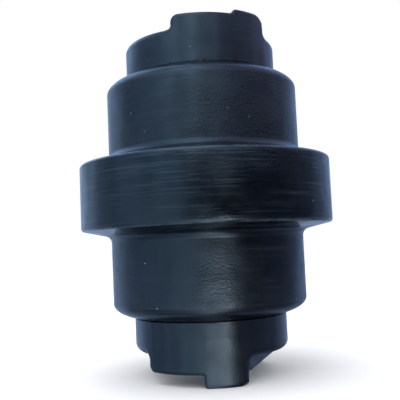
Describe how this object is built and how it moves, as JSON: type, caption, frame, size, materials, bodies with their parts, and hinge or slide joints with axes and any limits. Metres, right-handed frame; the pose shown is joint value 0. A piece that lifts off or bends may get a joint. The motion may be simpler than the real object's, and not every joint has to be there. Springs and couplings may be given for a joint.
{
  "type": "track roller",
  "caption": "Lubricated bottom track roller with a centre flange between two treads, turning on a fixed shaft held by bolted end collars.",
  "frame": {"origin": "on the roller's axis at the middle of the centre flange", "axes": "+Z along the roller's axis towards the end with the oil plug, +Y towards the track frame that the collars' flats bolt to"},
  "size_m": [0.14, 0.14, 0.1928],
  "materials": {
    "black_enamel": "gloss black enamel over a turned forging",
    "collar_enamel": "gloss black enamel over a casting",
    "shaft_steel": "ground steel, ends painted over",
    "plug_steel": "turned steel, painted over",
    "pin_steel": "ground steel",
    "seal_iron": "lapped alloy iron",
    "bronze": "turned bronze",
    "copper": "soft copper",
    "nitrile_rubber": "matt black rubber"
  },
  "bodies": {
    "axle": {"shaft": "shaft_steel", "oil_plug": "plug_steel", "oil_plug_washer": "copper", "upper_end_collar": "collar_enamel", "upper_lock_pin": "pin_steel", "upper_shaft_o_ring": "nitrile_rubber", "upper_collar_seal_ring": "seal_iron", "upper_collar_toric_ring": "nitrile_rubber", "lower_end_collar": "collar_enamel", "lower_lock_pin": "pin_steel", "lower_shaft_o_ring": "nitrile_rubber", "lower_collar_seal_ring": "seal_iron", "lower_collar_toric_ring": "nitrile_rubber"},
    "roller": {"roller_shell": "black_enamel", "upper_bushing": "bronze", "upper_shell_seal_ring": "seal_iron", "upper_shell_toric_ring": "nitrile_rubber", "lower_bushing": "bronze", "lower_shell_seal_ring": "seal_iron", "lower_shell_toric_ring": "nitrile_rubber"}
  },
  "joints": [
    {"name": "roller_spin", "type": "hinge", "parent": "axle", "child": "roller", "pos_m": [0, 0, 0], "axis": [0, 0, 1], "continuous": true}
  ]
}
